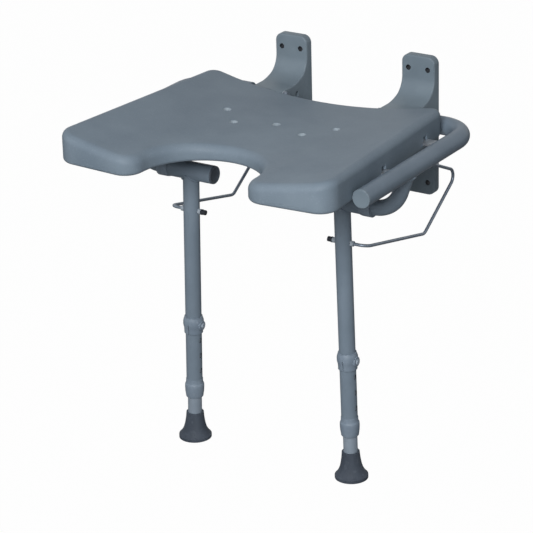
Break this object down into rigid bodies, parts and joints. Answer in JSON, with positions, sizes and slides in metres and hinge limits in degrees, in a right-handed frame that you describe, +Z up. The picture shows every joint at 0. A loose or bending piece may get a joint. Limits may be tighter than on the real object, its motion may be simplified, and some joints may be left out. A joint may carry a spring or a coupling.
{
  "type": "wall-mounted shower seat",
  "caption": "Fold-up shower seat with a horseshoe pad on tube rails, hinged to wall brackets, with height-adjustable legs that stay upright as it folds.",
  "frame": {"origin": "middle of the eight wall bolt holes, in the plane of the wall", "axes": "+Z up, -Y out from the wall towards the front edge, +X to the right for someone who faces the wall"},
  "size_m": [0.5226, 0.4875, 0.5985],
  "materials": {
    "bracket": "satin powder coat",
    "pad": "fine-grained moulded skin",
    "board": "matt",
    "tube": "satin powder coat",
    "inner_tube": "satin anodised",
    "plastic": "satin",
    "pale_plastic": "satin",
    "cap": "satin",
    "steel": "zinc-plated",
    "rod": "satin",
    "rubber": "matt"
  },
  "bodies": {
    "wall_brackets": {"left_bracket": "bracket", "right_bracket": "bracket", "hinge_bushes": "pale_plastic"},
    "seat": {"seat_pad": "pad", "base_board": "board", "left_rail": "tube", "right_rail": "tube", "rail_caps": "inner_tube", "hinge_plugs": "cap", "hinge_bolts": "steel", "left_axle_arm": "tube", "right_axle_arm": "tube", "axle_stops": "steel", "rail_lugs": "inner_tube", "pad_screws": "steel"},
    "left_leg": {"left_tee": "tube", "left_tee_bushes": "plastic", "left_tee_plug": "cap", "left_leg_tube": "tube", "left_end_bush": "plastic", "left_pivot_bushes": "pale_plastic"},
    "left_leg_foot": {"left_foot_tube": "inner_tube", "left_snap_spring": "steel", "left_foot_disc": "steel", "left_foot": "rubber", "left_height_collar": "plastic"},
    "left_button": {"left_snap_button": "steel"},
    "left_link": {"left_link_rod": "rod", "left_link_caps": "cap"},
    "right_leg": {"right_tee": "tube", "right_tee_bushes": "plastic", "right_tee_plug": "cap", "right_leg_tube": "tube", "right_end_bush": "plastic", "right_pivot_bushes": "pale_plastic"},
    "right_leg_foot": {"right_foot_tube": "inner_tube", "right_snap_spring": "steel", "right_foot_disc": "steel", "right_foot": "rubber", "right_height_collar": "plastic"},
    "right_button": {"right_snap_button": "steel"},
    "right_link": {"right_link_rod": "rod", "right_link_caps": "cap"}
  },
  "joints": [
    {"name": "seat_fold", "type": "hinge", "parent": "wall_brackets", "child": "seat", "pos_m": [0, -0.084, 0.035], "axis": [-1, 0, 0], "range_deg": [0, 90]},
    {"name": "left_leg_swing", "type": "hinge", "parent": "seat", "child": "left_leg", "pos_m": [-0.1343, -0.277, -0.0335], "axis": [1, 0, 0], "range_deg": [0, 90]},
    {"name": "left_link_swing", "type": "hinge", "parent": "wall_brackets", "child": "left_link", "pos_m": [-0.175, -0.084, -0.03], "axis": [-1, 0, 0], "range_deg": [0, 90]},
    {"name": "left_leg_height", "type": "slide", "parent": "left_leg", "child": "left_leg_foot", "axis": [-0.0227, 0, -0.9997], "range_m": [0, 0.078]},
    {"name": "left_button_press", "type": "slide", "parent": "left_leg_foot", "child": "left_button", "axis": [-0.9997, 0, 0.0227], "range_m": [0, 0.002], "stiffness_N_per_m": 800, "springref_m": -0.002, "deforming": ["left_snap_spring"]},
    {"name": "right_leg_swing", "type": "hinge", "parent": "seat", "child": "right_leg", "pos_m": [0.1343, -0.277, -0.0335], "axis": [1, 0, 0], "range_deg": [0, 90]},
    {"name": "right_link_swing", "type": "hinge", "parent": "wall_brackets", "child": "right_link", "pos_m": [0.175, -0.084, -0.03], "axis": [-1, 0, 0], "range_deg": [0, 90]},
    {"name": "right_leg_height", "type": "slide", "parent": "right_leg", "child": "right_leg_foot", "axis": [0.0227, 0, -0.9997], "range_m": [0, 0.078]},
    {"name": "right_button_press", "type": "slide", "parent": "right_leg_foot", "child": "right_button", "axis": [-0.9997, 0, -0.0227], "range_m": [0, 0.002], "stiffness_N_per_m": 800, "springref_m": -0.002, "deforming": ["right_snap_spring"]}
  ],
  "couplings": [
    {"joint": "left_leg_swing", "follows": "seat_fold", "ratio": 1},
    {"joint": "left_link_swing", "follows": "seat_fold", "ratio": 1},
    {"joint": "right_leg_swing", "follows": "seat_fold", "ratio": 1},
    {"joint": "right_link_swing", "follows": "seat_fold", "ratio": 1}
  ]
}
